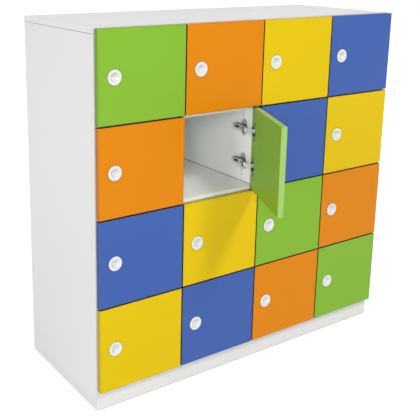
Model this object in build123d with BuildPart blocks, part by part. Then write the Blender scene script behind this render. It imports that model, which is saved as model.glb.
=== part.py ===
from build123d import *
import os
from math import asin, cos, radians, sin

os.makedirs("parts", exist_ok=True)

# A free-standing student locker: a white board cabinet of sixteen compartments, each with its own
# coloured overlay door on two concealed cup hinges. X runs to the right along the front, Y to the
# back and Z up. The origin is on the floor, under the middle of the cabinet.

# Cabinet
cabinet_width = 1200.0
cabinet_height = 1170.0
cabinet_depth = 450.0
column_count = 4
row_count = 4
board = 18.0
back_thickness = 4.0
plinth_height = 66.0
bearer_gap = 0.2

# Doors
door_thickness = 18.0
door_gap = 4.0
door_standoff = 2.0
door_round = 1.2
open_door = (1, 1)
open_door_angle = 65.0

# Finger pull, a round plastic dish pressed into the door
pull_inset = 53.0
pull_flange_radius = 22.5
pull_flange_thickness = 1.8
pull_flange_round = 0.9
pull_dish_radius = 14.0
pull_dish_depth = 10.0
pull_body_radius = 17.5
pull_body_depth = 11.5
pull_fit = 0.2

# Concealed hinge. Pins and knee are in plan, from the column line and the carcass front plane,
# with the door shut: X to the right, Y to the back.
hinge_inset = 80.0
arm_pin_x = -36.0
arm_pin_y = 13.0
cup_pin_x = -12.0
cup_pin_y = -8.0
link_knee_x = -22.0
link_knee_y = -11.6
link_turn_share = -0.29
hinge_pin_radius = 1.3
hinge_pin_fit = 0.06
link_width = 13.0
link_thickness = 2.4
link_hub_radius = 2.6
hinge_sheet = 1.5
hinge_side_gap = 0.3

# Hinge cup in the door
cup_edge_distance = 3.0
cup_radius = 17.5
cup_wall = 0.8
cup_depth = 12.2
cup_fit = 0.1
cup_cheek_reach = 3.2
ear_spacing = 48.0
ear_offset = 6.0
ear_width = 13.0
ear_thickness = 1.0
ear_clear_of_carcass = 1.0

# Hinge arm and mounting plate on the divider
arm_stand = 3.0
arm_height = 14.0
arm_nose_radius = 4.2
arm_straight_start = 36.0
arm_end = 90.0
plate_depth = 50.0
plate_wing_height = 53.0
plate_wing_width = 21.0
plate_thickness = 2.2
plate_rib_start = 38.0
plate_rib_end = 84.0
plate_rib_gap = 0.1
plate_screw_spacing = 32.0
plate_screw_radius = 2.5
plate_screw_length = 11.0
plate_screw_head_radius = 4.2
plate_screw_head = 1.0
screw_fit = 0.05

# Spare pilot holes above and below each pair of hinges
pilot_depth = 56.0
pilot_inset = 39.0
pilot_spacing = 11.0
pilot_radius = 2.0
pilot_bore = 9.0

# Wooden dowels between the boards
dowel_radius = 4.0
dowel_fit = 0.05
dowel_row = 150.0
dowel_in_face = 8.0
dowel_in_end = 22.0

# Worked out from the sizes above
front = -cabinet_depth / 2
rear = cabinet_depth / 2
column_pitch = cabinet_width / column_count
row_pitch = (cabinet_height - plinth_height) / row_count
door_width = column_pitch - door_gap
door_height = row_pitch - door_gap
bottom_top = plinth_height + board
top_underside = cabinet_height - board
inner_width = cabinet_width - 2 * board
inner_depth = cabinet_depth - back_thickness
inner_height = top_underside - bottom_top
divider_y = front + inner_depth / 2
cup_centre_x = -(cup_edge_distance + cup_radius)
doors = [(row, column) for row in range(row_count) for column in range(column_count)]


def column_line(index):
    """X of the line between two columns of doors, from 0 at the left side to column_count."""
    return -cabinet_width / 2 + index * column_pitch


def row_line(index):
    """Z of the line between two rows of doors, from 0 at the top."""
    return cabinet_height - index * row_pitch


def half_board(index, last):
    """Half a divider or shelf, or a whole board at the outside of the cabinet."""
    return board if index in (0, last) else board / 2


def hinge_face(column):
    """X of the upright's face that carries this column's hinges."""
    return column_line(column + 1) - half_board(column + 1, column_count)


def hinge_heights(row):
    """Z of the upper and the lower hinge of a row."""
    return (row_line(row) - hinge_inset, row_line(row + 1) + hinge_inset)


def turned(x, y, angle):
    """A plan vector turned about Z by an angle in degrees."""
    turn = radians(angle)
    return (x * cos(turn) - y * sin(turn), x * sin(turn) + y * cos(turn))


def opening(row, column):
    """How far the door stands open at rest, in degrees."""
    return open_door_angle if (row, column) == open_door else 0.0


def cup_pin(row, column):
    """Plan position of the pin in the door's hinge cups, carried there by the links."""
    swing = turned(cup_pin_x - arm_pin_x, cup_pin_y - arm_pin_y, link_turn_share * opening(row, column))
    return (column_line(column + 1) + arm_pin_x + swing[0], front + arm_pin_y + swing[1])


def door_plane(row, column):
    """Plane of the door's inner face. Its origin is the lower corner at the hinge edge, X points
    to the hinge edge along the door, Y up and Z out of the cabinet."""
    angle = opening(row, column)
    pin_x, pin_y = cup_pin(row, column)
    corner_x, corner_y = turned(-door_gap / 2 - cup_pin_x, -door_standoff - cup_pin_y, angle)
    origin = (pin_x + corner_x, pin_y + corner_y, row_line(row + 1) + door_gap / 2)
    return Plane(origin=origin, x_dir=(*turned(1, 0, angle), 0), z_dir=(*turned(0, -1, angle), 0))


def save(piece, name):
    """Label a finished piece and write it out."""
    piece.part.label = name
    export_step(piece.part, f"parts/{name}.step")


# Side panels, which stand on the floor and carry the top
shelf_lines = [row_line(row) for row in range(1, row_count)]
for name, side in (("left_side_panel", -1), ("right_side_panel", 1)):
    with BuildPart() as side_panel:
        with BuildSketch(Plane.XY):
            with Locations((side * (cabinet_width - board) / 2, 0)):
                Rectangle(board, cabinet_depth)
        extrude(amount=top_underside)
        inner_face = Plane(origin=(side * inner_width / 2, 0, 0), x_dir=(0, 1, 0), z_dir=(1, 0, 0))
        with BuildSketch(inner_face):
            for z in [*shelf_lines, plinth_height + board / 2]:
                with Locations((-dowel_row, z), (dowel_row, z)):
                    Circle(dowel_radius + dowel_fit)
        extrude(amount=side * dowel_in_face, mode=Mode.SUBTRACT)
        with BuildSketch(Plane.XY.offset(top_underside)):
            x = side * (cabinet_width - board) / 2
            with Locations((x, -dowel_row), (x, dowel_row)):
                Circle(dowel_radius + dowel_fit)
        extrude(amount=-dowel_in_end, mode=Mode.SUBTRACT)
        if side == 1:
            with BuildSketch(inner_face):
                for row in range(row_count):
                    for z in hinge_heights(row):
                        with Locations((front + plate_depth, z)):
                            with GridLocations(0, plate_screw_spacing, 1, 2):
                                Circle(plate_screw_radius + screw_fit)
            extrude(amount=plate_screw_length, mode=Mode.SUBTRACT)
            with BuildSketch(inner_face):
                for row in range(row_count):
                    for z in (row_line(row) - pilot_inset, row_line(row + 1) + pilot_inset):
                        with Locations((front + pilot_depth, z)):
                            with GridLocations(0, pilot_spacing, 1, 2):
                                Circle(pilot_radius)
            extrude(amount=pilot_bore, mode=Mode.SUBTRACT)
    save(side_panel, name)

# Dividers between the columns, with the hinge holes in their left faces
with BuildPart() as dividers:
    for index in range(1, column_count):
        x = column_line(index)
        with BuildSketch(Plane.XY.offset(bottom_top)):
            with Locations((x, divider_y)):
                Rectangle(board, inner_depth)
        extrude(amount=inner_height)
    for index in range(1, column_count):
        for side in (-1, 1):
            face_x = column_line(index) + side * board / 2
            with BuildSketch(Plane(origin=(face_x, 0, 0), x_dir=(0, 1, 0), z_dir=(1, 0, 0))):
                for z in shelf_lines:
                    with Locations((-dowel_row, z), (dowel_row, z)):
                        Circle(dowel_radius + dowel_fit)
            extrude(amount=-side * dowel_in_face, mode=Mode.SUBTRACT)
        face = Plane(origin=(column_line(index) - board / 2, 0, 0), x_dir=(0, 1, 0), z_dir=(1, 0, 0))
        with BuildSketch(face):
            for row in range(row_count):
                for z in hinge_heights(row):
                    with Locations((front + plate_depth, z)):
                        with GridLocations(0, plate_screw_spacing, 1, 2):
                            Circle(plate_screw_radius + screw_fit)
        extrude(amount=plate_screw_length, mode=Mode.SUBTRACT)
        with BuildSketch(face):
            for row in range(row_count):
                for z in (row_line(row) - pilot_inset, row_line(row + 1) + pilot_inset):
                    with Locations((front + pilot_depth, z)):
                        with GridLocations(0, pilot_spacing, 1, 2):
                            Circle(pilot_radius)
        extrude(amount=pilot_bore, mode=Mode.SUBTRACT)
        for end, inward in ((bottom_top, 1), (top_underside, -1)):
            with BuildSketch(Plane.XY.offset(end)):
                with Locations((column_line(index), -dowel_row), (column_line(index), dowel_row)):
                    Circle(dowel_radius + dowel_fit)
            extrude(amount=inward * dowel_in_end, mode=Mode.SUBTRACT)
save(dividers, "dividers")

# Top panel over the uprights, and bottom panel between the sides
with BuildPart() as top_panel:
    with BuildSketch(Plane.XY.offset(top_underside)):
        Rectangle(cabinet_width, cabinet_depth)
    extrude(amount=board)
    with BuildSketch(Plane.XY.offset(top_underside)):
        for index in range(column_count + 1):
            outward = (index == column_count) - (index == 0)
            x = column_line(index) - outward * board / 2
            with Locations((x, -dowel_row), (x, dowel_row)):
                Circle(dowel_radius + dowel_fit)
    extrude(amount=dowel_in_face, mode=Mode.SUBTRACT)
save(top_panel, "top_panel")

with BuildPart() as bottom_panel:
    with BuildSketch(Plane.XY.offset(plinth_height)):
        Rectangle(inner_width, cabinet_depth)
    extrude(amount=board)
    with BuildSketch(Plane.XY.offset(bottom_top)):
        for index in range(1, column_count):
            with Locations((column_line(index), -dowel_row), (column_line(index), dowel_row)):
                Circle(dowel_radius + dowel_fit)
    extrude(amount=-dowel_in_face, mode=Mode.SUBTRACT)
    for side in (-1, 1):
        end = Plane(origin=(side * inner_width / 2, 0, 0), x_dir=(0, 1, 0), z_dir=(1, 0, 0))
        with BuildSketch(end):
            z = plinth_height + board / 2
            with Locations((-dowel_row, z), (dowel_row, z)):
                Circle(dowel_radius + dowel_fit)
        extrude(amount=-side * dowel_in_end, mode=Mode.SUBTRACT)
save(bottom_panel, "bottom_panel")

# Shelves, one between each pair of uprights at each row line
with BuildPart() as shelves:
    for column in range(column_count):
        left = column_line(column) + half_board(column, column_count)
        right = hinge_face(column)
        for z in shelf_lines:
            with BuildSketch(Plane.XY.offset(z - board / 2)):
                with Locations(((left + right) / 2, divider_y)):
                    Rectangle(right - left, inner_depth)
            extrude(amount=board)
    for column in range(column_count):
        left = column_line(column) + half_board(column, column_count)
        for x, inward in ((left, 1), (hinge_face(column), -1)):
            with BuildSketch(Plane(origin=(x, 0, 0), x_dir=(0, 1, 0), z_dir=(1, 0, 0))):
                for z in shelf_lines:
                    with Locations((-dowel_row, z), (dowel_row, z)):
                        Circle(dowel_radius + dowel_fit)
            extrude(amount=inward * dowel_in_end, mode=Mode.SUBTRACT)
save(shelves, "shelves")

# Back panel, let in between the sides, the top and the bottom
with BuildPart() as back_panel:
    with BuildSketch(Plane.XY.offset(bottom_top)):
        with Locations((0, rear - back_thickness / 2)):
            Rectangle(inner_width, back_thickness)
    extrude(amount=inner_height)
save(back_panel, "back_panel")

# Plinth under the bottom panel: front and rear rails, and a bearer under each divider that stands
# just clear of them
with BuildPart() as plinth:
    for y in (front + board / 2, rear - board / 2):
        with BuildSketch(Plane.XY):
            with Locations((0, y)):
                Rectangle(inner_width, board)
        extrude(amount=plinth_height)
    for index in range(1, column_count):
        with BuildSketch(Plane.XY):
            with Locations((column_line(index), 0)):
                Rectangle(board, cabinet_depth - 2 * (board + bearer_gap))
        extrude(amount=plinth_height)
save(plinth, "plinth")

# Dowels that pin the boards together
with BuildPart() as dowels:
    for y in (-dowel_row, dowel_row):
        with BuildSketch(Plane.XY.offset(top_underside - dowel_in_end)):
            for index in range(column_count + 1):
                outward = (index == column_count) - (index == 0)
                with Locations((column_line(index) - outward * board / 2, y)):
                    Circle(dowel_radius)
        extrude(amount=dowel_in_end + dowel_in_face)
        with BuildSketch(Plane.XY.offset(bottom_top - dowel_in_face)):
            for index in range(1, column_count):
                with Locations((column_line(index), y)):
                    Circle(dowel_radius)
        extrude(amount=dowel_in_face + dowel_in_end)
    for column in range(column_count):
        left = column_line(column) + half_board(column, column_count)
        for x, inward in ((left, 1), (hinge_face(column), -1)):
            start = Plane(origin=(x - inward * dowel_in_face, 0, 0), x_dir=(0, 1, 0), z_dir=(1, 0, 0))
            with BuildSketch(start):
                for z in shelf_lines:
                    with Locations((-dowel_row, z), (dowel_row, z)):
                        Circle(dowel_radius)
            extrude(amount=inward * (dowel_in_face + dowel_in_end))
    for side in (-1, 1):
        x = side * (inner_width / 2 + dowel_in_face)
        with BuildSketch(Plane(origin=(x, 0, 0), x_dir=(0, 1, 0), z_dir=(1, 0, 0))):
            z = plinth_height + board / 2
            with Locations((-dowel_row, z), (dowel_row, z)):
                Circle(dowel_radius)
        extrude(amount=-side * (dowel_in_face + dowel_in_end))
save(dowels, "dowels")


def hinge_places(columns):
    """Where the hinges of these columns stand: the column line, the carcass front and the height."""
    lines = [(column_line(column + 1), front) for column in columns]
    return [Pos(x, y, z) for x, y in lines for row in range(row_count) for z in hinge_heights(row)]


def face_plane(face):
    """Plane on a hinge face at this X from the column line: X to the back, Y up, Z off the face."""
    return Plane(origin=(face, 0, 0), x_dir=(0, 1, 0), z_dir=(-1, 0, 0))


# The hinges of the inner columns screw to dividers, and those of the last column to the side panel,
# so their faces lie half a board and a whole board from the column line.
inner_columns = range(column_count - 1)
last_column = [column_count - 1]
hinge_sets = [(-board / 2, hinge_places(inner_columns)), (-board, hinge_places(last_column))]
half_rib = link_width / 2 + hinge_side_gap - plate_rib_gap
half_arm = link_width / 2 + hinge_side_gap + hinge_sheet

# Cross-shaped mounting plates: two wings with the screw holes, and a rib that the arm sits over
plate_groups = []
for face, places in hinge_sets:
    with BuildPart() as plate:
        with BuildSketch(face_plane(face)):
            with Locations((plate_depth, 0)):
                SlotOverall(plate_wing_height, plate_wing_width, rotation=90)
                with GridLocations(0, plate_screw_spacing, 1, 2):
                    Circle(plate_screw_radius + screw_fit, mode=Mode.SUBTRACT)
        extrude(amount=plate_thickness)
        with BuildSketch(face_plane(face)):
            with Locations(((plate_rib_start + plate_rib_end) / 2, 0)):
                Rectangle(plate_rib_end - plate_rib_start, 2 * half_rib)
        extrude(amount=arm_height - hinge_sheet)
    plate_groups.append((plate.part, places))
with BuildPart() as hinge_plates:
    for plate_part, places in plate_groups:
        with Locations(*places):
            add(plate_part)
save(hinge_plates, "hinge_plates")

# Hinge arms, bent from sheet steel: two cheeks and a web over the plate's rib, reaching forward to
# the arm pin, which is riveted across the cheeks
arm_groups = []
for face, places in hinge_sets:
    low = face - arm_stand
    high = face - arm_height
    nose = (arm_pin_x, arm_pin_y)
    with BuildPart() as arm:
        for start in (-half_arm, half_arm - hinge_sheet):
            with BuildSketch(Plane.XY.offset(start)):
                with BuildLine():
                    Polyline(
                        (arm_pin_x + arm_nose_radius, arm_pin_y),
                        (low, arm_straight_start),
                        (low, arm_end),
                        (high, arm_end),
                        (high, arm_straight_start),
                        (arm_pin_x - arm_nose_radius, arm_pin_y + arm_nose_radius),
                        (arm_pin_x - arm_nose_radius, arm_pin_y),
                        close=True,
                    )
                make_face()
                with Locations(nose):
                    Circle(arm_nose_radius)
            extrude(amount=hinge_sheet)
        with BuildSketch(Plane.XY.offset(-half_arm)):
            with BuildLine():
                Polyline(
                    (high, arm_end),
                    (high, arm_straight_start),
                    (arm_pin_x - arm_nose_radius, arm_pin_y + arm_nose_radius),
                    (arm_pin_x - arm_nose_radius + hinge_sheet, arm_pin_y + arm_nose_radius),
                    (high + hinge_sheet, arm_straight_start),
                    (high + hinge_sheet, arm_end),
                    close=True,
                )
            make_face()
            with Locations(nose):
                Circle(hinge_pin_radius)
        extrude(amount=2 * half_arm)
    arm_groups.append((arm.part, places))
with BuildPart() as hinge_arms:
    for arm_part, places in arm_groups:
        with Locations(*places):
            add(arm_part)
save(hinge_arms, "hinge_arms")

# Screws of the mounting plates
screw_groups = []
for face, places in hinge_sets:
    with BuildPart() as screws:
        for radius, start, length in (
            (plate_screw_head_radius, plate_thickness, plate_screw_head),
            (plate_screw_radius, plate_thickness, -plate_thickness - plate_screw_length),
        ):
            with BuildSketch(face_plane(face).offset(start)):
                with Locations((plate_depth, 0)):
                    with GridLocations(0, plate_screw_spacing, 1, 2):
                        Circle(radius)
            extrude(amount=length)
    screw_groups.append((screws.part, places))
with BuildPart() as hinge_screws:
    for screws_part, places in screw_groups:
        with Locations(*places):
            add(screws_part)
save(hinge_screws, "hinge_screws")

# One hinge link, a cranked steel strap from the arm's pin, at its origin, to the cup's pin
far_end = (cup_pin_x - arm_pin_x, cup_pin_y - arm_pin_y)
knee = (link_knee_x - arm_pin_x, link_knee_y - arm_pin_y)
with BuildPart() as link:
    with BuildSketch(Plane.XY.offset(-link_width / 2)):
        with BuildLine():
            Polyline((0, 0), knee, far_end)
        trace(line_width=link_thickness)
        with Locations(knee):
            Circle(link_thickness / 2)
        with Locations((0, 0), far_end):
            Circle(link_hub_radius)
            Circle(hinge_pin_radius + hinge_pin_fit, mode=Mode.SUBTRACT)
    extrude(amount=link_width)
for row, column in doors:
    with BuildPart() as links:
        x = column_line(column + 1) + arm_pin_x
        with Locations(*[Pos(x, front + arm_pin_y, z) for z in hinge_heights(row)]):
            with Locations(Rot(0, 0, link_turn_share * opening(row, column))):
                add(link.part)
    save(links, f"links_r{row + 1}c{column + 1}")

# One door, lying face up: its inner face is at Z 0, with the lower corner at the hinge edge at the
# origin. It has a bore for the pull in front and two cup bores behind.
cup_heights = (hinge_inset - door_gap / 2, row_pitch - hinge_inset - door_gap / 2)
cup_places = [(cup_centre_x, height) for height in cup_heights]
pull_place = (-door_width + pull_inset, door_height / 2)
with BuildPart() as door_blank:
    with BuildSketch():
        with Locations((-door_width / 2, door_height / 2)):
            Rectangle(door_width, door_height)
    extrude(amount=door_thickness)
    fillet(door_blank.edges(), radius=door_round)
    with BuildSketch(Plane.XY.offset(door_thickness)):
        with Locations(pull_place):
            Circle(pull_body_radius + pull_fit)
    extrude(amount=-pull_body_depth, mode=Mode.SUBTRACT)
    with BuildSketch():
        with Locations(*cup_places):
            Circle(cup_radius + cup_fit)
    extrude(amount=cup_depth, mode=Mode.SUBTRACT)

# The finger pull, turned about its own axis
rim_height = pull_flange_thickness
rim_edge = pull_flange_radius - pull_flange_round
diagonal = cos(radians(45))
dish_ball = (pull_dish_radius**2 + pull_dish_depth**2) / (2 * pull_dish_depth)
dish_centre = rim_height - pull_dish_depth + dish_ball
dish_middle = asin(pull_dish_radius / dish_ball) / 2
with BuildPart() as pull:
    with BuildSketch(Plane.XZ):
        with BuildLine():
            Polyline(
                (0, rim_height - pull_dish_depth),
                (0, -pull_body_depth),
                (pull_body_radius, -pull_body_depth),
                (pull_body_radius, 0),
                (pull_flange_radius, 0),
                (pull_flange_radius, rim_height - pull_flange_round),
            )
            ThreePointArc(
                (pull_flange_radius, rim_height - pull_flange_round),
                (rim_edge + pull_flange_round * diagonal, rim_height - pull_flange_round * (1 - diagonal)),
                (rim_edge, rim_height),
            )
            Line((rim_edge, rim_height), (pull_dish_radius, rim_height))
            ThreePointArc(
                (pull_dish_radius, rim_height),
                (dish_ball * sin(dish_middle), dish_centre - dish_ball * cos(dish_middle)),
                (0, rim_height - pull_dish_depth),
            )
        make_face()
    revolve(axis=Axis.Z)

# One hinge cup, pressed from steel, with its fixing ears on the door's inner face and the pin
# between two cheeks. Its axis is Z and its rim is at Z 0.
pin_x = cup_pin_x + door_gap / 2 - cup_centre_x
pin_in = -door_standoff - cup_pin_y
ear_limit = door_gap / 2 - board / 2 - ear_clear_of_carcass - cup_centre_x
with BuildPart() as cup:
    with BuildSketch():
        Circle(cup_radius)
    extrude(amount=cup_depth)
    with BuildSketch():
        Circle(cup_radius + ear_clear_of_carcass)
        with Locations((-ear_offset, 0)):
            SlotOverall(ear_spacing + ear_width, ear_width, rotation=90)
        with Locations((ear_limit + cup_radius, 0)):
            Rectangle(2 * cup_radius, ear_spacing + 2 * ear_width, mode=Mode.SUBTRACT)
    extrude(amount=-ear_thickness)
    with BuildSketch(Plane.XY.offset(-ear_thickness)):
        Circle(cup_radius - cup_wall)
    extrude(amount=ear_thickness + cup_depth - cup_wall, mode=Mode.SUBTRACT)
    for start in (-half_arm, half_arm - hinge_sheet):
        with BuildSketch(Plane.XZ.offset(start)):
            with Locations((pin_x, (pin_in - cup_cheek_reach + cup_depth) / 2)):
                Rectangle(2 * cup_cheek_reach, cup_depth - pin_in + cup_cheek_reach)
        extrude(amount=hinge_sheet)
    with BuildSketch(Plane.XZ.offset(-half_arm)):
        with Locations((pin_x, pin_in)):
            Circle(hinge_pin_radius)
    extrude(amount=2 * half_arm)

# Doors and their fittings, each set in its place
for row, column in doors:
    place = door_plane(row, column)
    with BuildPart() as door:
        with Locations(place):
            add(door_blank.part)
    save(door, f"door_r{row + 1}c{column + 1}")
    with BuildPart() as fittings:
        with Locations(place):
            with Locations((*pull_place, door_thickness)):
                add(pull.part)
            with Locations(*[(*cup_place, 0) for cup_place in cup_places]):
                add(cup.part)
    save(fittings, f"fittings_r{row + 1}c{column + 1}")
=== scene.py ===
import math

import bmesh
import bpy
from mathutils import Matrix, Vector


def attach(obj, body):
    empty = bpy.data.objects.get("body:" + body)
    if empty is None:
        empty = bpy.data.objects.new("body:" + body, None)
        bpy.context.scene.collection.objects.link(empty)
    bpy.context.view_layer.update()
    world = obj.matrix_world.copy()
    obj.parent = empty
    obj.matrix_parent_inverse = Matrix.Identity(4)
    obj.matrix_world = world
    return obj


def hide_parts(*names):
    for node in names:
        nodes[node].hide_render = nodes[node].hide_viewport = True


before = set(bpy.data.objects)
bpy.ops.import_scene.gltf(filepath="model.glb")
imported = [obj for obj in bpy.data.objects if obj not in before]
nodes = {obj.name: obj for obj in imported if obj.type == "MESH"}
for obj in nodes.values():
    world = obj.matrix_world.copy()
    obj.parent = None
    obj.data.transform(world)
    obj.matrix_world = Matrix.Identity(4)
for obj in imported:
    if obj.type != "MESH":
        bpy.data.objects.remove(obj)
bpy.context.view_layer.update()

# Carcass boards: 18 mm chipboard faced on both sides with white melamine, pinned with dowels. The
# front edges, and the ends of the top, are closed with a glued plastic edging 1 mm thick, and the
# top panel lies over the side panels, which leaves a hairline joint one board below the top.
BOARD, EDGING = 0.018, 0.001
WIDTH, DEPTH, HEIGHT, PLINTH = 1.2, 0.45, 1.17, 0.066
COLUMN_PITCH, ROW_PITCH = 0.3, 0.276
FRONT = -DEPTH / 2
EDGING_SEAM, TOP_JOINT, FLOOR_SHADOW_LINE, SHELF_JOINT, SHELF_END = 0.0003, 0.0016, 0.0028, 0.0022, 0.002
BEHIND_EDGING, BACK_EDGE = FRONT + 0.0015, DEPTH / 2 - 0.0005
WHITE_MELAMINE, OUTER_SHADE_SHARE = (0.92, 0.92, 0.915), 0.85
SHADED_CHIPBOARD_TONES = (0.05, 0.03, 0.015), (0.12, 0.08, 0.045)
FACING, CHIPS_PER_METRE = 0.0003, 600.0


def new_finish(name, **settings):
    """A material with its surface shader's own settings made, ready for the nodes of one finish."""
    finish = bpy.data.materials.new(name)
    finish.use_nodes = True
    surface = finish.node_tree.nodes["Principled BSDF"]
    for socket, value in settings.items():
        surface.inputs[socket.replace("_", " ")].default_value = value
    return finish, surface


def dress(finish, surface, **sources):
    """Links outputs of nodes to the surface shader's sockets."""
    for socket, source in sources.items():
        finish.node_tree.links.new(source, surface.inputs[socket.replace("_", " ")])


def node(finish, kind, *sources, **settings):
    """Adds a node, with its inputs linked from other nodes' sockets or set to numbers, in order."""
    made = finish.node_tree.nodes.new(kind)
    for key, value in settings.items():
        setattr(made, key, value)
    for socket, source in zip(made.inputs, sources):
        if source is None:
            continue
        if isinstance(source, bpy.types.NodeSocket):
            finish.node_tree.links.new(source, socket)
        else:
            socket.default_value = source
    return made


def math_node(finish, operation, *sources):
    """One sum on numbers or sockets."""
    return node(finish, "ShaderNodeMath", *sources, operation=operation).outputs[0]


def ranged(finish, value, found, wanted):
    """Carries a value from the range that it is found in to the range that is wanted."""
    return node(finish, "ShaderNodeMapRange", value, *found, *wanted).outputs[0]


def hairline(finish, distance, half_width):
    """1 on a line where the distance is 0, fading to 0 at half_width from it."""
    away = math_node(finish, "ABSOLUTE", distance)
    line = node(finish, "ShaderNodeMapRange", away, 0.0, half_width, 1.0, 0.0)
    line.interpolation_type = "SMOOTHSTEP"
    return line.outputs[0]


def from_line(finish, value, start, pitch):
    """How far a coordinate is from the nearest of the lines that stand one pitch apart."""
    return math_node(finish, "PINGPONG", math_node(finish, "SUBTRACT", value, start), pitch / 2)


def between(finish, value, low, high):
    """1 where a value lies between two numbers, or else 0."""
    above = math_node(finish, "GREATER_THAN", value, low)
    below = math_node(finish, "LESS_THAN", value, high)
    return math_node(finish, "MULTIPLY", above, below)


def noise(finish, position, scale, detail=2.0):
    """Clouds from 0 to 1, with this many of them to a metre."""
    clouds = node(finish, "ShaderNodeTexNoise", position)
    clouds.inputs["Scale"].default_value = scale
    clouds.inputs["Detail"].default_value = detail
    return clouds.outputs[0]


def blended(finish, share, first, second):
    """A colour between two others, each a colour or a socket."""
    mixed = node(finish, "ShaderNodeMix", share, data_type="RGBA")
    for socket, source in ((mixed.inputs[6], first), (mixed.inputs[7], second)):
        if isinstance(source, bpy.types.NodeSocket):
            finish.node_tree.links.new(source, socket)
        else:
            socket.default_value = (*source, 1)
    return mixed.outputs[2]


def scaled(finish, tone, share):
    """A colour made darker or lighter by another node's value."""
    made = node(finish, "ShaderNodeVectorMath", tone, operation="SCALE")
    finish.node_tree.links.new(share, made.inputs["Scale"])
    return made.outputs[0]


def relief(finish, height, strength, distance, over=None, invert=False):
    """A fine relief in the surface, which may lie over another one, and is sunk if inverted."""
    made = node(finish, "ShaderNodeBump", invert=invert)
    made.inputs["Strength"].default_value = strength
    made.inputs["Distance"].default_value = distance
    finish.node_tree.links.new(height, made.inputs["Height"])
    if over:
        finish.node_tree.links.new(over, made.inputs["Normal"])
    return made.outputs[0]


def shaded_corners(finish, tone, reach, darkest, clear=(0.3, 0.95)):
    """Darkens a tone where other surfaces stand within reach: painted shade in gaps and corners. It
    is darkest where less than the first share of the view is clear, and untouched above the second."""
    closeness = node(finish, "ShaderNodeAmbientOcclusion", samples=8)
    closeness.inputs["Distance"].default_value = reach
    return scaled(finish, tone, ranged(finish, closeness.outputs["AO"], clear, (darkest, 1.0)))


def pearl_surface(finish, surface, position, colour, roughness, seam, cloud):
    """The faced-board look: pearl grain pressed into the resin, a faint cloudiness of tone, uneven
    sheen, and a dark fine groove where seam is 1; seam may carry a painted shadow line as well."""
    grain = noise(finish, position, scale=900.0, detail=3.0)
    clouds = noise(finish, position, scale=7.0, detail=4.0)
    rubbed = noise(finish, position, scale=38.0, detail=6.0)
    darker = [c * (1 - cloud) for c in colour]
    lighter = [min(1.0, c * (1 + cloud)) for c in colour]
    tone = blended(finish, clouds, darker, lighter)
    speckled = scaled(finish, tone, ranged(finish, grain, (0.35, 0.7), (0.985, 1.01)))
    groove_colour = [c * 0.15 for c in colour]
    shadowed = blended(finish, math_node(finish, "MULTIPLY", seam, 0.85), speckled, groove_colour)
    sheen = ranged(finish, rubbed, (0.3, 0.7), (roughness - 0.04, roughness + 0.05))
    pressed = relief(finish, grain, strength=0.6, distance=0.00003)
    grooved = relief(finish, seam, strength=0.8, distance=0.0004, over=pressed, invert=True)
    dress(finish, surface, Roughness=sheen, Normal=grooved)
    return shadowed


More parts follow.
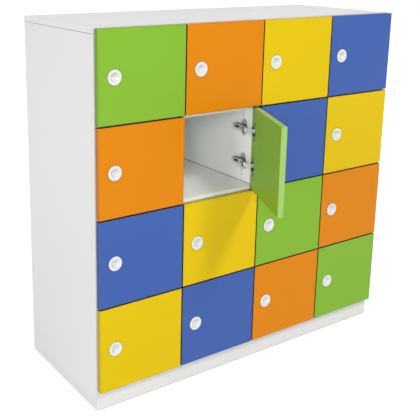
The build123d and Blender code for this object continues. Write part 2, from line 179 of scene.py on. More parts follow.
def white_board(name, upright=False, shelf=False):
    """White melamine with its edging seam behind the front edge, the joint under the top, and a
    painted contact shadow as a dark line at the floor. The inside is painted lighter than the
    outside, the top and the plinth: painted light in the compartments. An upright also has the
    hairline joints along its shelves, bare chipboard inside its bores, painted darker as shade deep
    in them, and painted shade round its fittings. A shelf has joints at its ends."""
    finish, surface = new_finish(name, IOR=1.5, Specular_IOR_Level=0.3)
    position = node(finish, "ShaderNodeTexCoord").outputs["Object"]
    x, y, z = node(finish, "ShaderNodeSeparateXYZ", position).outputs
    sideways = math_node(finish, "ABSOLUTE", x)
    on_top = math_node(finish, "GREATER_THAN", z, HEIGHT - BOARD / 2)
    in_plinth = math_node(finish, "LESS_THAN", z, PLINTH - BOARD / 2 - 0.001)
    outside = math_node(finish, "GREATER_THAN", sideways, WIDTH / 2 - BOARD / 2)
    within = math_node(finish, "SUBTRACT", 1.0, outside)
    inside = between(finish, sideways, -1.0, WIDTH / 2 - BOARD / 2)
    behind_edging = between(finish, y, BEHIND_EDGING, BACK_EDGE)
    from_column = from_line(finish, x, 0.0, COLUMN_PITCH)

    def line(value, place, half_width, *masks):
        """A dark line where a coordinate is at this place, only where all the masks are 1."""
        drawn = hairline(finish, math_node(finish, "SUBTRACT", value, place), half_width)
        for mask in masks:
            drawn = math_node(finish, "MULTIPLY", drawn, mask)
        return drawn

    # The line at the floor is a painted contact shadow; the other lines are real seams and joints.
    lines = [
        line(y, FRONT + EDGING, EDGING_SEAM),
        line(sideways, WIDTH / 2 - EDGING, EDGING_SEAM, on_top),
        line(z, HEIGHT - BOARD, TOP_JOINT, outside),
        line(z, 0.0, FLOOR_SHADOW_LINE, within),
    ]
    if upright:
        from_row = from_line(finish, z, PLINTH, ROW_PITCH)
        lines.append(line(from_row, BOARD / 2, SHELF_JOINT, inside, behind_edging))
    if shelf:
        shelf_end = between(finish, y, BEHIND_EDGING, DEPTH / 2)
        lines.append(line(from_column, BOARD / 2, SHELF_END, shelf_end))
    # seam carries the real seams and joints, and also the painted contact shadow at the floor.
    seam = lines[0]
    for other in lines[1:]:
        seam = math_node(finish, "MAXIMUM", seam, other)
    tone = pearl_surface(finish, surface, position, WHITE_MELAMINE, 0.42, seam, cloud=0.008)
    # The outside, the top and the plinth are painted darker than the inside: painted light in the
    # compartments.
    outer_faces = math_node(finish, "MAXIMUM", math_node(finish, "MAXIMUM", outside, in_plinth), on_top)
    tone = scaled(finish, tone, ranged(finish, outer_faces, (0.0, 1.0), (1.0, OUTER_SHADE_SHARE)))
    if upright:
        in_divider = math_node(finish, "LESS_THAN", from_column, BOARD / 2 - FACING)
        in_divider = math_node(finish, "MULTIPLY", in_divider, inside)
        in_side = between(finish, sideways, WIDTH / 2 - BOARD + FACING, WIDTH / 2 - 0.0005)
        bored = math_node(finish, "MAXIMUM", in_divider, in_side)
        bored = math_node(finish, "MULTIPLY", bored, behind_edging)
        # The bores show bare chipboard, painted much darker than its own brown as painted shade
        # deep in them.
        chips = node(finish, "ShaderNodeTexVoronoi", position)
        chips.inputs["Scale"].default_value = CHIPS_PER_METRE
        shaded_core = blended(finish, chips.outputs["Distance"], *SHADED_CHIPBOARD_TONES)
        tone = blended(finish, bored, tone, shaded_core)
        # Painted shade round the fittings and in the inside corners, behind the edging.
        fitting_shade = shaded_corners(finish, tone, reach=0.006, darkest=0.3)
        tone = blended(finish, math_node(finish, "MULTIPLY", inside, behind_edging), tone, fitting_shade)
    dress(finish, surface, Base_Color=tone)
    return finish


def wear(name, finish):
    """Gives a CAD node its finish in every material slot."""
    for place in nodes[name].material_slots:
        place.material = finish
    if not nodes[name].material_slots:
        nodes[name].data.materials.append(finish)


white_melamine = white_board("white_melamine")
for board in ("top_panel", "plinth"):
    wear(board, white_melamine)
shelf_melamine = white_board("white_melamine_shelf", shelf=True)
for board in ("bottom_panel", "shelves"):
    wear(board, shelf_melamine)
upright_melamine = white_board("white_melamine_upright", upright=True)
for board in ("left_side_panel", "right_side_panel", "dividers"):
    wear(board, upright_melamine)

# Back panel: 4 mm hardboard let in flush between the sides, with a smooth white painted face, and
# held by flat-headed steel pins driven through it into the dividers and the shelves.
PIN_HEAD_RADIUS, PIN_HEAD, PIN_SUNK = 0.0022, 0.0003, -0.0005
PIN_SPACING, PIN_START_UP, PIN_START_ACROSS = 0.069, 0.1, -0.57
PINS_UP, PINS_ACROSS = 16, 17
PAINT_TONES, PAINT_JOINT_TONE = ((0.85, 0.85, 0.84), (0.91, 0.91, 0.90)), (0.22, 0.22, 0.215)
PAINT_JOINT = 0.0014


def stretched(finish, position, shares):
    """The position with its axes scaled, which draws out what is laid on it."""
    drawn = node(finish, "ShaderNodeMapping", position)
    drawn.inputs["Scale"].default_value = shares
    return drawn.outputs[0]


def painted_hardboard():
    """Thin white paint on hardboard, with the faint linen of its pressing and roller marks, and on
    the inside the dark joints where the shelves meet it."""
    finish, surface = new_finish("painted_hardboard", IOR=1.46)
    position = node(finish, "ShaderNodeTexCoord").outputs["Object"]
    x, y, z = node(finish, "ShaderNodeSeparateXYZ", position).outputs
    from_row = from_line(finish, z, PLINTH, ROW_PITCH)
    joint = hairline(finish, math_node(finish, "SUBTRACT", from_row, BOARD / 2), PAINT_JOINT)
    inner_face = math_node(finish, "LESS_THAN", y, DEPTH / 2 - 0.001)
    joint = math_node(finish, "MULTIPLY", joint, inner_face)
    drawn = stretched(finish, position, (1.0, 1.0, 0.12))
    rolled = noise(finish, drawn, scale=160.0, detail=5.0)
    weave = noise(finish, position, scale=1400.0)
    tone = blended(finish, rolled, *PAINT_TONES)
    lined = blended(finish, math_node(finish, "MULTIPLY", joint, 0.8), tone, PAINT_JOINT_TONE)
    sheen = ranged(finish, rolled, (0.3, 0.7), (0.5, 0.62))
    pressed = relief(finish, weave, strength=0.7, distance=0.00006)
    dress(finish, surface, Base_Color=lined, Roughness=sheen, Normal=pressed)
    return finish


def stack(mesh, loops, place=Matrix(), steps=48):
    """Joins loops of points into a skin with capped ends. Each loop is (outline, height): the
    outline is a radius, or a function giving the point at an angle, and the height is a number, or
    a function of the angle."""
    rings = []
    for outline, height in loops:
        ring = []
        for step in range(steps):
            angle = 2 * math.pi * step / steps
            if callable(outline):
                x, y = outline(angle)
            else:
                x, y = outline * math.cos(angle), outline * math.sin(angle)
            rise = height(angle) if callable(height) else height
            ring.append(mesh.verts.new(place @ Vector((x, y, rise))))
        rings.append(ring)
    for low, high in zip(rings, rings[1:]):
        for step in range(steps):
            after = (step + 1) % steps
            mesh.faces.new((low[step], low[after], high[after], high[step]))
    mesh.faces.new(list(reversed(rings[0])))
    mesh.faces.new(rings[-1])


def drawn_mesh(name, drawing):
    """A mesh from a finished drawing, with its faces turned outwards."""
    bmesh.ops.recalc_face_normals(drawing, faces=drawing.faces)
    data = bpy.data.meshes.new(name)
    drawing.to_mesh(data)
    drawing.free()
    return data


def bevelled(piece, name, width, harden):
    """Rounds the sharp edges of a piece or a CAD node with a modifier."""
    bevel = piece.modifiers.new(name, "BEVEL")
    bevel.width = width
    bevel.segments = 2
    bevel.limit_method = "ANGLE"
    bevel.angle_limit = math.radians(35)
    bevel.harden_normals = harden


def place_piece(name, data, finish, body, replaced=(), place=Matrix(), round_edges=0.0):
    """Sets a piece with this mesh and finish in its place on a body."""
    piece = bpy.data.objects.new(name, data)
    bpy.context.scene.collection.objects.link(piece)
    if not data.materials:
        data.materials.append(finish)
    data.shade_smooth()
    piece.matrix_world = place
    if round_edges:
        bevelled(piece, "rounded_edges", round_edges, harden=True)
    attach(piece, body)
    for cad_node in replaced:
        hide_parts(cad_node)


def plated_steel(name, colour, roughness, metallic=1.0, side_shade=1.0):
    """Bright plating over pressed steel: fine rolling lines, clouded brightness, small dents, and
    painted shade in the corners. The cut edges and other faces across sheets that face along X may
    be painted darker, as painted shade that outlines them."""
    finish, surface = new_finish(name, Metallic=metallic)
    places = node(finish, "ShaderNodeTexCoord").outputs
    drawn = stretched(finish, places["Object"], (1.0, 0.06, 1.0))
    lines = noise(finish, drawn, scale=2600.0, detail=3.0)
    clouds = noise(finish, places["Object"], scale=130.0, detail=5.0)
    darker = [c * 0.86 for c in colour]
    lighter = [min(1.0, c * 1.1) for c in colour]
    tone = blended(finish, clouds, darker, lighter)
    # Painted shade in the corners and gaps.
    tone = shaded_corners(finish, tone, reach=0.004, darkest=0.12)
    # Painted shade on the faces that don't face along X, which outlines the sheets.
    if side_shade < 1.0:
        facing = node(finish, "ShaderNodeSeparateXYZ", places["Normal"]).outputs[0]
        facing = math_node(finish, "ABSOLUTE", facing)
        tone = scaled(finish, tone, ranged(finish, facing, (0.3, 0.8), (side_shade, 1.0)))
    sheen = ranged(finish, clouds, (0.3, 0.7), (roughness - 0.06, roughness + 0.08))
    pressed = relief(finish, lines, strength=0.5, distance=0.00001)
    dress(finish, surface, Base_Color=tone, Roughness=sheen, Normal=pressed)
    return finish


wear("back_panel", painted_hardboard())
screw_steel = plated_steel("zinc_screw_steel", (0.60, 0.60, 0.59), 0.34)
divider_lines = [COLUMN_PITCH * column for column in (-1, 0, 1)]
shelf_lines = [PLINTH + ROW_PITCH * row for row in (1, 2, 3)]
pin_places = [(x, PIN_START_UP + PIN_SPACING * step)
              for x in divider_lines for step in range(PINS_UP)]
pin_places += [(PIN_START_ACROSS + PIN_SPACING * step, z)
               for z in shelf_lines for step in range(PINS_ACROSS)]
drawing = bmesh.new()
for x, z in pin_places:
    stack(drawing, [
        (PIN_HEAD_RADIUS, PIN_SUNK),
        (PIN_HEAD_RADIUS, PIN_HEAD * 0.6),
        (PIN_HEAD_RADIUS * 0.85, PIN_HEAD),
    ], Matrix.Translation((x, DEPTH / 2, z)) @ Matrix.Rotation(-math.pi / 2, 4, "X"), 12)
place_piece("back_pins", drawn_mesh("back_pins", drawing), screw_steel, "root")

# Dowels: fluted beech pins 8 mm thick, glued into bores between the boards. They can't be seen once
# the cabinet is together.
BEECH_TONES = (0.50, 0.33, 0.17), (0.62, 0.44, 0.25)


def beech():
    """Straight-grained beech with its short dark flecks."""
    finish, surface = new_finish("beech", IOR=1.45)
    position = node(finish, "ShaderNodeTexCoord").outputs["Object"]
    drawn = stretched(finish, position, (0.1, 1.0, 0.1))
    grain = noise(finish, drawn, scale=900.0, detail=5.0)
    tone = blended(finish, grain, *BEECH_TONES)
    sheen = ranged(finish, grain, (0.3, 0.7), (0.55, 0.7))
    dress(finish, surface, Base_Color=tone, Roughness=sheen)
    return finish


wear("dowels", beech())

# Mounting plates and arms of the hinges: nickel-plated steel, pressed and bent. Each cross-shaped
# plate is screwed to a divider or the right side panel, and the arm sits over the plate's rib,
# held by a fixing screw in a slot and set sideways by a shorter screw in front of it.
NICKEL, NICKEL_ROUGHNESS, NICKEL_METALLIC = (0.84, 0.835, 0.82), 0.36, 0.75
SCREW_HEAD_RADIUS, SCREW_HEAD = 0.0042, 0.0012
SCREW_SPACING, PLATE_DEPTH, PLATE_THICKNESS = 0.032, 0.050, 0.0022
ARM_HEIGHT = 0.014
ADJUSTERS, ADJUSTER_HEAD = ((0.043, 0.0031), (0.066, 0.0040)), 0.0011
HINGE_INSET = 0.08
CROSS_HALF_WIDTH = 0.3

hinge_steel = plated_steel("nickel_plated_steel", NICKEL, NICKEL_ROUGHNESS, NICKEL_METALLIC)
# The plates and arms carry painted shade on the faces that don't face along X.
side_shaded_steel = plated_steel("nickel_plated_steel_side_shaded", NICKEL, NICKEL_ROUGHNESS, NICKEL_METALLIC,
                         side_shade=0.16)
for name in ("hinge_plates", "hinge_arms"):
    wear(name, side_shaded_steel)
    bevelled(nodes[name], "rolled_edges", 0.0004, harden=False)


def cross(size):
    """Outline of a cross recess whose arms reach this far."""
    def point(angle):
        turn = (angle + math.pi / 4) % (math.pi / 2) - math.pi / 4
        side = size * CROSS_HALF_WIDTH / max(abs(math.sin(turn)), 0.001)
        reach = min(size / math.cos(turn), side)
        return reach * math.cos(angle), reach * math.sin(angle)
    return point


def cross_screw(mesh, place, radius, head):
    """A low screw head with a cross recess, its axis along Z and its underside at the origin."""
    stack(mesh, [
        (radius, -0.0004),
        (radius, head * 0.45),
        (radius * 0.94, head * 0.8),
        (radius * 0.8, head),
        (cross(radius * 0.62), head),
        (cross(radius * 0.5), head - radius * 0.4),
    ], place)


def hinge_places():
    """For each hinge: the X of its column's line, the X of the face it is on, and its height."""
    for column in range(4):
        line = -WIDTH / 2 + COLUMN_PITCH * (column + 1)
        face = line - (BOARD if column == 3 else BOARD / 2)
        for row in range(4):
            yield line, face, HEIGHT - row * ROW_PITCH - HINGE_INSET
            yield line, face, HEIGHT - (row + 1) * ROW_PITCH + HINGE_INSET


off_face = Matrix.Rotation(-math.pi / 2, 4, "Y")
plate_screws, arm_screws = bmesh.new(), bmesh.new()
for line, face, z in hinge_places():
    for side in (-1, 1):
        seat = (face - PLATE_THICKNESS, FRONT + PLATE_DEPTH, z + side * SCREW_SPACING / 2)
        place = Matrix.Translation(seat) @ off_face
        cross_screw(plate_screws, place, SCREW_HEAD_RADIUS, SCREW_HEAD)
    for depth, radius in ADJUSTERS:
        place = Matrix.Translation((face - ARM_HEIGHT, FRONT + depth, z)) @ off_face
        cross_screw(arm_screws, place, radius, ADJUSTER_HEAD)
place_piece("plate_screws", drawn_mesh("plate_screws", plate_screws), screw_steel,
            "root", ["hinge_screws"])
# The same dark steel serves the adjusting screws and the painted shade of the slots and spare
# holes.
dark_steel_and_hole_shade = plated_steel("dark_screw_steel_and_hole_shade", (0.10, 0.10, 0.105), 0.42, metallic=0.8)
place_piece("arm_screws", drawn_mesh("arm_screws", arm_screws), dark_steel_and_hole_shade,
            "root")

# The slot that the fixing screw slides in is punched through the arm's web, over the dark gap to
# the plate's rib, and each wing of the plate has two spare holes. The slot and the holes are drawn
# as thin dark plates on the steel: painted shade where the hollows are. The arm's pin is riveted
# over outside both cheeks.
SLOT_LENGTH, SLOT_WIDTH, SLOT_DEPTH = 0.021, 0.0076, 0.069
HOLE_RADIUS, HOLE_ACROSS, HOLE_UP = 0.0017, 0.0066, 0.0128
HOLE_SUNK, HOLE_FACE = -0.0005, 0.00012
ARM_PIN, ARM_HALF_WIDTH = Vector((-0.036, 0.013, 0)), 0.0083
RIVET_RADIUS, RIVET_HEAD, RIVET_SUNK = 0.0023, 0.0006, -0.0003


def slot_outline(length, width):
    """Outline of a slot with round ends, along Y."""
    def point(angle):
        x, y = width / 2 * math.cos(angle), width / 2 * math.sin(angle)
        return x, y + math.copysign((length - width) / 2, y)
    return point


slot = slot_outline(SLOT_LENGTH, SLOT_WIDTH)
hole_shades, rivets = bmesh.new(), bmesh.new()
for line, face, z in hinge_places():
    place = Matrix.Translation((face - ARM_HEIGHT, FRONT + SLOT_DEPTH, z)) @ off_face
    stack(hole_shades, [(slot, HOLE_SUNK), (slot, HOLE_FACE)], place, 32)
    for up in (-HOLE_UP, HOLE_UP):
        for across in (-HOLE_ACROSS, HOLE_ACROSS):
            seat = (face - PLATE_THICKNESS, FRONT + PLATE_DEPTH + across, z + up)
            place = Matrix.Translation(seat) @ off_face
            stack(hole_shades, [(HOLE_RADIUS, HOLE_SUNK), (HOLE_RADIUS, HOLE_FACE)], place, 16)
    pin = Vector((line, FRONT, z)) + ARM_PIN
    for side in (-1, 1):
        place = Matrix.Translation(pin + Vector((0, 0, side * ARM_HALF_WIDTH)))
        if side < 0:
            place = place @ Matrix.Rotation(math.pi, 4, "X")
        stack(rivets, [
            (RIVET_RADIUS, RIVET_SUNK),
            (RIVET_RADIUS, RIVET_HEAD * 0.4),
            (RIVET_RADIUS * 0.8, RIVET_HEAD * 0.85),
            (RIVET_RADIUS * 0.4, RIVET_HEAD),
        ], place, 20)
place_piece("arm_slot_shades", drawn_mesh("arm_slot_shades", hole_shades), dark_steel_and_hole_shade, "root")
place_piece("arm_rivets", drawn_mesh("arm_rivets", rivets), hinge_steel, "root")

# Hinge links: cranked steel straps, one for each hinge, from the pin in the arm's nose to the pin
# in the cup. They carry the door clear of the next one as it opens.
for row in range(4):
    for column in range(4):
        wear(f"links_r{row + 1}c{column + 1}", hinge_steel)

# Doors: 18 mm chipboard faced on both sides with coloured melamine, and closed all round with 2 mm
# edging of the same colour, its outer corners rounded. Sixteen doors in four colours cover the
# front; one of them stands open.
DOOR_COLOURS = {
    "green": (0.234, 0.472, 0.036),
    "orange": (0.738, 0.238, 0.003),
    "yellow": (0.768, 0.539, 0.002),
    "blue": (0.056, 0.123, 0.413),
}
DOOR_PLAN = (
    ("green", "orange", "yellow", "blue"),
    ("orange", "green", "blue", "yellow"),
    ("blue", "yellow", "green", "orange"),
    ("yellow", "blue", "orange", "green"),
)
OPEN_DOOR, OPEN_ANGLE = (1, 1), math.radians(65)
DOOR_GAP, DOOR_STANDOFF, DOOR_THICKNESS, DOOR_EDGING = 0.004, 0.002, 0.018, 0.002
CUP_PIN, LINK_SHARE = Vector((-0.012, -0.008, 0)), -0.29
HIGHLIGHT_BAND, HIGHLIGHT_SHARE = (DOOR_GAP / 2 + 0.0004, DOOR_GAP / 2 + 0.0013), 0.32
FLANK_BAND, FLANK_SHADE_SHARE = (DOOR_GAP / 2 + 0.0002, DOOR_GAP / 2 + 0.0006), 0.68


def door_place(row, column):
    """Where a door's inner face lies: origin at the lower corner at the hinge edge, X along the
    door towards that edge, Y up and Z out of the cabinet."""
    angle = OPEN_ANGLE if (row, column) == OPEN_DOOR else 0.0
    line = Vector((-WIDTH / 2 + COLUMN_PITCH * (column + 1), FRONT, 0))
    pin = line + ARM_PIN + Matrix.Rotation(LINK_SHARE * angle, 3, "Z") @ (CUP_PIN - ARM_PIN)
    corner = Vector((-DOOR_GAP / 2, -DOOR_STANDOFF, 0)) - CUP_PIN
    origin = pin + Matrix.Rotation(angle, 3, "Z") @ corner
    origin.z = HEIGHT - (row + 1) * ROW_PITCH + DOOR_GAP / 2
    upright = Matrix.Rotation(math.pi / 2, 4, "X")
    return Matrix.Translation(origin) @ Matrix.Rotation(angle, 4, "Z") @ upright


def faced_door(name, colour, swung=None):
    """Coloured melamine with the edging's seam 2 mm inside each edge of the door, a painted
    highlight along the rounded rim, and painted shade in the gaps. The flanks of the shut doors are
    painted a little darker than their faces, as shade in the gaps; the open door's are not."""
    finish, surface = new_finish(name, IOR=1.5, Specular_IOR_Level=0.12)
    position = node(finish, "ShaderNodeTexCoord").outputs["Object"]
    laid = node(finish, "ShaderNodeMapping", position, vector_type="TEXTURE")
    if swung:
        origin = door_place(*swung).translation
        laid.inputs["Location"].default_value = (origin.x, origin.y, 0)
        laid.inputs["Rotation"].default_value = (0, 0, OPEN_ANGLE)
    x, y, z = node(finish, "ShaderNodeSeparateXYZ", laid.outputs[0]).outputs
    to_side = from_line(finish, x, DOOR_GAP / 2 if swung else 0.0, COLUMN_PITCH)
    to_end = from_line(finish, z, PLINTH, ROW_PITCH)
    nearest = math_node(finish, "MINIMUM", to_side, to_end)
    from_seam = math_node(finish, "SUBTRACT", nearest, DOOR_GAP / 2 + DOOR_EDGING)
    seam = hairline(finish, from_seam, EDGING_SEAM)
    tone = pearl_surface(finish, surface, position, colour, 0.36, seam, cloud=0.02)
    # A painted highlight along the rounded rim of the door's face.
    rim = ranged(finish, nearest, HIGHLIGHT_BAND, (HIGHLIGHT_SHARE, 0.0))
    tone = blended(finish, rim, tone, [0.35 + 0.65 * c for c in colour])
    # The shut doors' flanks are painted darker, as painted shade in the gaps.
    if not swung:
        flank_shade = ranged(finish, nearest, FLANK_BAND, (1.0, 0.0))
        tone = blended(finish, flank_shade, tone, [FLANK_SHADE_SHARE * c for c in colour])
    # Painted shade in the gaps, against the next door and the carcass.
    tone = shaded_corners(finish, tone, reach=0.012, darkest=0.02, clear=(0.45, 0.98))
    dress(finish, surface, Base_Color=tone)
    return finish


door_finishes = {}
for name, colour in DOOR_COLOURS.items():
    door_finishes[name] = faced_door(f"{name}_melamine", colour)
for row in range(4):
    for column in range(4):
        colour = DOOR_PLAN[row][column]
        finish = door_finishes[colour]
        # The open door has its own copy of the finish, laid along its turned faces, without the
        # painted shade on its flanks.
        if (row, column) == OPEN_DOOR:
            finish = faced_door(f"{colour}_melamine_open_door", DOOR_COLOURS[colour], OPEN_DOOR)
        wear(f"door_r{row + 1}c{column + 1}", finish)

# Finger pulls: round dishes moulded in glossy white plastic, with a flat flange that covers the
# bore. Each is pressed into its door from the front, at mid height, near the free edge.
PULL_INSET = 0.053
FLANGE_RADIUS, FLANGE, FLANGE_ROUND = 0.0225, 0.0018, 0.0009
DISH_RADIUS, DISH_DEPTH, DISH_LIP, DISH_STEPS = 0.014, 0.010, 0.0009, 9
BODY_RADIUS, BODY_DEPTH = 0.0175, 0.0115
DOOR_WIDTH, DOOR_HEIGHT = COLUMN_PITCH - DOOR_GAP, ROW_PITCH - DOOR_GAP
PLASTIC_TONES = (0.76, 0.76, 0.755), (0.80, 0.80, 0.795)


def moulded_plastic():
    """Glossy white plastic with a trace of flow marks and a fine spark-eroded grain, and painted
    shade in the dish and round the flange.
    """
    finish, surface = new_finish("white_moulded_plastic", IOR=1.49, Specular_IOR_Level=0.35)
    position = node(finish, "ShaderNodeTexCoord").outputs["Object"]
    flow = noise(finish, position, scale=45.0, detail=4.0)
    grain = noise(finish, position, scale=3500.0)
    tone = blended(finish, flow, *PLASTIC_TONES)
    # Painted shade in the dish and round the flange.
    tone = shaded_corners(finish, tone, reach=0.03, darkest=0.72)
    sheen = ranged(finish, flow, (0.3, 0.7), (0.24, 0.32))
    pressed = relief(finish, grain, strength=0.3, distance=0.00001)
    dress(finish, surface, Base_Color=tone, Roughness=sheen, Normal=pressed)
    return finish


white_plastic = moulded_plastic()
ball = (DISH_RADIUS**2 + DISH_DEPTH**2) / (2 * DISH_DEPTH)
dish = []
for step in range(DISH_STEPS):
    slope = math.asin(DISH_RADIUS / ball) * (1 - step / DISH_STEPS)
    dish.append((ball * math.sin(slope), FLANGE - DISH_DEPTH + ball - ball * math.cos(slope)))
drawing = bmesh.new()
stack(drawing, [
    (BODY_RADIUS * 0.6, -BODY_DEPTH),
    (BODY_RADIUS - 0.001, -BODY_DEPTH),
    (BODY_RADIUS, -BODY_DEPTH + 0.001),
    (BODY_RADIUS, 0.0),
    (FLANGE_RADIUS - 0.0002, 0.0),
    (FLANGE_RADIUS, 0.0003),
    (FLANGE_RADIUS, FLANGE - FLANGE_ROUND),
    (FLANGE_RADIUS - FLANGE_ROUND * 0.13, FLANGE - FLANGE_ROUND * 0.5),
    (FLANGE_RADIUS - FLANGE_ROUND * 0.5, FLANGE - FLANGE_ROUND * 0.13),
    (FLANGE_RADIUS - FLANGE_ROUND, FLANGE),
    (DISH_RADIUS + DISH_LIP, FLANGE),
    (DISH_RADIUS + DISH_LIP * 0.3, FLANGE - DISH_LIP * 0.25),
    *dish,
], Matrix.Translation((-DOOR_WIDTH + PULL_INSET, DOOR_HEIGHT / 2, DOOR_THICKNESS)), steps=64)
pull_mesh = drawn_mesh("finger_pull", drawing)
for row in range(4):
    for column in range(4):
        name = f"r{row + 1}c{column + 1}"
        place_piece(f"pull_{name}", pull_mesh, white_plastic, f"door_{name}",
                    [f"fittings_{name}"], door_place(row, column))

# Hinge cups: drawn from nickel-plated steel and let into bores of 35 mm in the back of the door.
# Two ears lie on the door and take a screw each, and the pin crosses the cup between two cheeks.
CUP_RADIUS, CUP_WALL, CUP_DEPTH, CUP_CENTRE = 0.0175, 0.0008, 0.0122, -0.0205
CUP_INSIDE, CUP_FLOOR = CUP_RADIUS - CUP_WALL, CUP_DEPTH - CUP_WALL
EAR_OFFSET, EAR_WIDTH, EAR_SPACING, EAR_THICKNESS = 0.006, 0.013, 0.048, 0.001
EAR_SCREW_RADIUS, EAR_SCREW_HEAD = 0.0041, 0.0009
EAR_LIMIT, RIM = 0.0125, 0.001
CHEEK, CHEEK_INNER, CHEEK_REACH = 0.0015, 0.0068, 0.0032
PIN_RADIUS, PIN_X, PIN_IN, PIN_PROUD = 0.0012, 0.0105, 0.006, 0.0004


def reach_of(inside, angle):
    """The farthest point inside an outline, going from the middle of the ears at this angle."""
    near, far = 0.0, 0.05
    for halving in range(24):
        middle = (near + far) / 2
        if inside(middle * math.cos(angle) - EAR_OFFSET, middle * math.sin(angle)):
            near = middle
        else:
            far = middle
    return near * math.cos(angle) - EAR_OFFSET, near * math.sin(angle)


def ear_outline(shrink=0.0):
    """Outline of the rim with its two ears, cut straight on the side near the divider."""
    def inside(x, y):
        straight = max(abs(y) - EAR_SPACING / 2, 0)
        ears = math.hypot(x + EAR_OFFSET, straight) <= EAR_WIDTH / 2 - shrink
        rim = math.hypot(x, y) <= CUP_RADIUS + RIM - shrink
        return (ears or rim) and x <= EAR_LIMIT - shrink
    return lambda angle: reach_of(inside, angle)


def offset_circle(radius):
    """A circle about the cup's axis, by angles from the middle of the ears."""
    return lambda angle: reach_of(lambda x, y: math.hypot(x, y) <= radius, angle)


def flange(outline, height, inset):
    """A loop of the flange. Where the flange is cut away near the divider, to let the link pass,
    the loop lies on top of the cup's wall instead, this far in from its outside."""
    wall_top = offset_circle(CUP_RADIUS - inset)

    def cut_away(angle):
        return math.hypot(*ear_outline()(angle)) < CUP_RADIUS

    return (lambda angle: wall_top(angle) if cut_away(angle) else outline(angle),
            lambda angle: -inset / 4 if cut_away(angle) else height)


def block(mesh, low, high):
    """A sheared strip of steel between two corners."""
    made = bmesh.ops.create_cube(mesh, size=1.0)["verts"]
    for corner in made:
        for axis in range(3):
            corner.co[axis] = low[axis] if corner.co[axis] < 0 else high[axis]


drawing = bmesh.new()
for height in (HINGE_INSET - DOOR_GAP / 2, ROW_PITCH - HINGE_INSET - DOOR_GAP / 2):
    centre = Vector((CUP_CENTRE, height, 0))
    stack(drawing, [
        (offset_circle(CUP_RADIUS - 0.004), CUP_DEPTH),
        (offset_circle(CUP_RADIUS - 0.0012), CUP_DEPTH - 0.0002),
        (offset_circle(CUP_RADIUS), CUP_DEPTH - 0.0014),
        (offset_circle(CUP_RADIUS), 0.0),
        flange(ear_outline(), 0.0, 0.0001),
        flange(ear_outline(), -EAR_THICKNESS + 0.0003, 0.0002),
        flange(ear_outline(0.0003), -EAR_THICKNESS, 0.0004),
        flange(offset_circle(CUP_INSIDE + 0.0005), -EAR_THICKNESS, 0.0006),
        flange(offset_circle(CUP_INSIDE), -EAR_THICKNESS + 0.0005, 0.0007),
        (offset_circle(CUP_INSIDE), CUP_DEPTH - 0.0024),
        (offset_circle(CUP_INSIDE - 0.0014), CUP_FLOOR),
        (offset_circle(0.006), CUP_FLOOR),
        (offset_circle(0.0055), CUP_FLOOR - 0.0002),
    ], Matrix.Translation(centre), 96)
    for side in (-1, 1):
        inner = height + side * CHEEK_INNER
        outer = height + side * (CHEEK_INNER + CHEEK)
        block(drawing,
              (CUP_CENTRE + PIN_X - CHEEK_REACH, min(inner, outer), PIN_IN - CHEEK_REACH),
              (CUP_CENTRE + PIN_X + CHEEK_REACH, max(inner, outer), CUP_DEPTH - CUP_WALL / 2))
        seat = centre + Vector((-EAR_OFFSET, side * EAR_SPACING / 2, -EAR_THICKNESS))
        outwards = Matrix.Translation(seat) @ Matrix.Rotation(math.pi, 4, "X")
        cross_screw(drawing, outwards, EAR_SCREW_RADIUS, EAR_SCREW_HEAD)
    middle = Matrix.Translation(centre + Vector((PIN_X, 0, PIN_IN)))
    half = CHEEK_INNER + CHEEK + PIN_PROUD
    along = middle @ Matrix.Rotation(-math.pi / 2, 4, "X")
    stack(drawing, [(PIN_RADIUS, -half), (PIN_RADIUS, half)], along, 20)
cup_mesh = drawn_mesh("hinge_cups", drawing)
for row in range(4):
    for column in range(4):
        name = f"r{row + 1}c{column + 1}"
        place_piece(f"cups_{name}", cup_mesh, hinge_steel, f"door_{name}",
                    [f"fittings_{name}"], door_place(row, column), round_edges=0.0002)

# The room: a plain white studio floor that runs out of sight, under an even sky. The floor and the
# sky light the cabinet dimly, and look white only to the camera and in reflections. The floor is
# greyer near the cabinet, where its soft shadow would fall.
FLOOR_HALF = 14.0
FLOOR_GREY = 0.72
FLOOR_LIFT_REACH, FLOOR_LIFT = (0.9, 3.2), (0.56, 1.0)
SKY_LEVELS = (0.22, 1.0)


def shown_directly(finish):
    """1 for what the camera sees, by itself or through a mirror or a glass, or else 0."""
    seen = node(finish, "ShaderNodeLightPath").outputs
    mirrored = math_node(finish, "MAXIMUM", seen["Is Glossy Ray"], seen["Is Transmission Ray"])
    return math_node(finish, "MAXIMUM", seen["Is Camera Ray"], mirrored)


floor_mesh = bpy.data.meshes.new("studio_floor")
floor_corners = [(x * FLOOR_HALF, y * FLOOR_HALF, 0)
                 for x, y in ((-1, -1), (1, -1), (1, 1), (-1, 1))]
floor_mesh.from_pydata(floor_corners, [], [(0, 1, 2, 3)])
floor = bpy.data.objects.new("studio_floor", floor_mesh)
bpy.context.scene.collection.objects.link(floor)
floor_finish, floor_surface = new_finish(
    "studio_floor_paint", Base_Color=(FLOOR_GREY, FLOOR_GREY, FLOOR_GREY, 1), Roughness=0.9,
    Specular_IOR_Level=0.1)
place = node(floor_finish, "ShaderNodeTexCoord").outputs["Object"]
away = node(floor_finish, "ShaderNodeVectorMath", place, operation="LENGTH").outputs["Value"]
paleness = ranged(floor_finish, away, FLOOR_LIFT_REACH, FLOOR_LIFT)
lift = node(floor_finish, "ShaderNodeEmission", (1, 1, 1, 1),
            math_node(floor_finish, "MULTIPLY", shown_directly(floor_finish), paleness))
both = node(floor_finish, "ShaderNodeAddShader", floor_surface.outputs[0], lift.outputs[0])
output = floor_finish.node_tree.nodes["Material Output"]
floor_finish.node_tree.links.new(both.outputs[0], output.inputs["Surface"])
floor_mesh.materials.append(floor_finish)

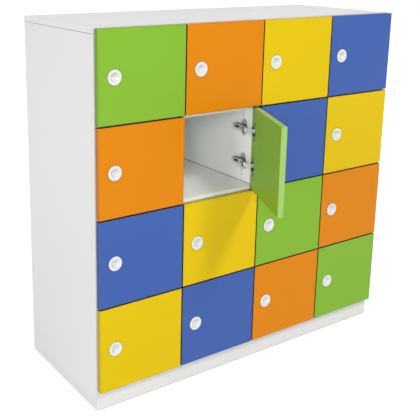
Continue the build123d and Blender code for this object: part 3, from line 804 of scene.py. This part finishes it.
sky = bpy.data.worlds.new("studio_sky")
bpy.context.scene.world = sky
sky.use_nodes = True
sky_light = sky.node_tree.nodes["Background"]
sky_light.inputs["Color"].default_value = (1, 1, 1, 1)
level = ranged(sky, shown_directly(sky), (0.0, 1.0), SKY_LEVELS)
sky.node_tree.links.new(level, sky_light.inputs["Strength"])

# The lamps are square softboxes, turned to the middle of the cabinet. One behind the camera reaches
# into the open compartment, one on the left lights the side panel, a smaller one high in front
# casts the open door's soft shadow, and three more keep the top, back and right side from dark.
SOFTBOXES = {
    "camera_softbox": ((-5.0, -6.6, 3.1), 2.6, 290.0),
    "left_softbox": ((-7.6, -2.0, 2.4), 3.0, 168.0),
    "high_softbox": ((1.33, -5.2, 6.7), 1.5, 250.0),
    "ceiling_softbox": ((0.0, -0.4, 6.2), 3.0, 34.0),
    "rear_softbox": ((-0.3, 7.5, 2.4), 2.4, 165.0),
    "right_softbox": ((7.6, 0.8, 2.4), 3.0, 120.0),
}
LIT_POINT = Vector((0, -0.2, 0.6))
for name, (place, side, watts) in SOFTBOXES.items():
    lamp = bpy.data.lights.new(name, "AREA")
    lamp.shape = "SQUARE"
    lamp.size = side
    lamp.energy = watts
    softbox = bpy.data.objects.new(name, lamp)
    bpy.context.scene.collection.objects.link(softbox)
    softbox.location = place
    softbox.rotation_euler = (LIT_POINT - softbox.location).to_track_quat("-Z", "Y").to_euler()

# The camera stands to the left of the cabinet at the height of a photographer's chest and looks a
# little down, as the photograph was taken. Its lens is given as pixels in a frame 420 wide.
CAMERA_PLACE = Vector((-1.6004, -2.0256, 1.3698))
HEADING, PITCH, ROLL = math.radians(34.1482), math.radians(-13.558), math.radians(0.5788)
FOCAL_PIXELS, FRAME_PIXELS, SENSOR = 755.6227, 420, 36
LENS_SHIFT = 0.12, -0.18
camera = bpy.data.cameras.new("photograph")
camera.lens = FOCAL_PIXELS / FRAME_PIXELS * SENSOR
camera.shift_x, camera.shift_y = LENS_SHIFT
camera_object = bpy.data.objects.new("photograph", camera)
bpy.context.scene.collection.objects.link(camera_object)
ahead = Vector((
    math.sin(HEADING) * math.cos(PITCH), math.cos(HEADING) * math.cos(PITCH), math.sin(PITCH)))
right = ahead.cross(Vector((0, 0, 1))).normalized()
up = right.cross(ahead)
turned_right = right * math.cos(ROLL) + up * math.sin(ROLL)
turned_up = up * math.cos(ROLL) - right * math.sin(ROLL)
stance = Matrix((turned_right, turned_up, -ahead)).transposed().to_4x4()
camera_object.matrix_world = Matrix.Translation(CAMERA_PLACE) @ stance
bpy.context.scene.camera = camera_object
bpy.context.scene.view_settings.view_transform = "Standard"
